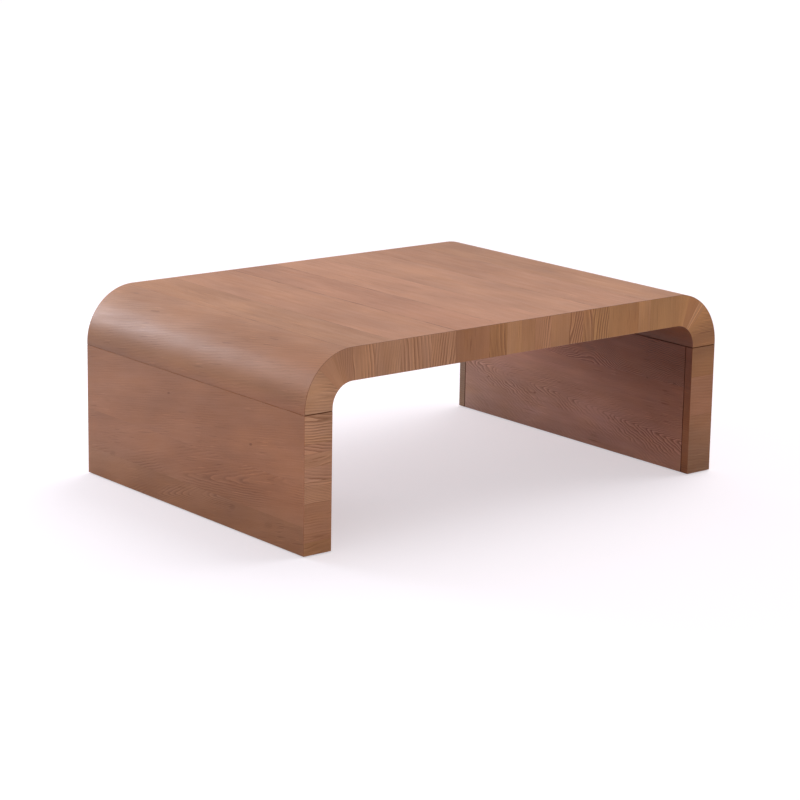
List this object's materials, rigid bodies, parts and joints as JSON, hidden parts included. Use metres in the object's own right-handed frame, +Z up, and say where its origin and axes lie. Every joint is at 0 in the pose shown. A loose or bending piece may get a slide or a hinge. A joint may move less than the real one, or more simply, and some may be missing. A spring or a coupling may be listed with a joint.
{
  "type": "coffee table",
  "caption": "Low waterfall coffee table: a thick veneered top that bends down at both ends onto two flat panel legs, bolted on from inside.",
  "frame": {"origin": "on the floor under the middle of the table", "axes": "+X along the table's length, +Y from front to back, +Z up"},
  "size_m": [1.1, 0.76, 0.4],
  "materials": {
    "face_veneer": "stained ash veneer under satin lacquer",
    "under_veneer": "stained ash veneer under satin lacquer",
    "edge_lipping": "stained cross-grained ash, satin lacquer",
    "inner_panel": "stained ash veneer on board, satin lacquer",
    "plywood_skin": "bare bending plywood",
    "rib_board": "bare fibreboard",
    "rail_wood": "bare solid hardwood",
    "dowel_wood": "fluted beech",
    "bolt_steel": "bright zinc plate",
    "insert_steel": "yellow zinc plate",
    "glide_plastic": "dark nylon",
    "plug_plastic": "brown moulded plastic"
  },
  "bodies": {
    "root": {"top_face_veneer": "face_veneer", "left_leg_face_veneer": "face_veneer", "right_leg_face_veneer": "face_veneer", "top_under_veneer": "under_veneer", "top_front_lipping": "edge_lipping", "top_back_lipping": "edge_lipping", "top_front_left_bend_lipping": "edge_lipping", "top_front_right_bend_lipping": "edge_lipping", "top_back_left_bend_lipping": "edge_lipping", "top_back_right_bend_lipping": "edge_lipping", "left_leg_front_stile": "edge_lipping", "left_leg_back_stile": "edge_lipping", "right_leg_front_stile": "edge_lipping", "right_leg_back_stile": "edge_lipping", "left_leg_inner_panel": "inner_panel", "right_leg_inner_panel": "inner_panel", "top_outer_skin": "plywood_skin", "top_inner_skin": "plywood_skin", "left_leg_outer_panel": "plywood_skin", "right_leg_outer_panel": "plywood_skin", "top_long_rib_1": "rib_board", "top_long_rib_2": "rib_board", "top_long_rib_3": "rib_board", "top_long_rib_4": "rib_board", "top_cross_rib_1": "rib_board", "top_cross_rib_2": "rib_board", "top_cross_rib_3": "rib_board", "top_left_bend_former_1": "rib_board", "top_left_bend_former_2": "rib_board", "top_left_bend_former_3": "rib_board", "top_left_bend_former_4": "rib_board", "top_right_bend_former_1": "rib_board", "top_right_bend_former_2": "rib_board", "top_right_bend_former_3": "rib_board", "top_right_bend_former_4": "rib_board", "left_leg_stud_1": "rib_board", "left_leg_stud_2": "rib_board", "right_leg_stud_1": "rib_board", "right_leg_stud_2": "rib_board", "top_left_end_rail": "rail_wood", "top_right_end_rail": "rail_wood", "left_leg_top_rail": "rail_wood", "left_leg_bottom_rail": "rail_wood", "right_leg_top_rail": "rail_wood", "right_leg_bottom_rail": "rail_wood", "left_leg_dowels": "dowel_wood", "right_leg_dowels": "dowel_wood", "left_leg_bolts": "bolt_steel", "right_leg_bolts": "bolt_steel", "left_leg_washers": "bolt_steel", "right_leg_washers": "bolt_steel", "top_left_threaded_inserts": "insert_steel", "top_right_threaded_inserts": "insert_steel", "left_leg_glides": "glide_plastic", "right_leg_glides": "glide_plastic", "left_leg_hole_plugs": "plug_plastic", "right_leg_hole_plugs": "plug_plastic"}
  },
  "joints": []
}
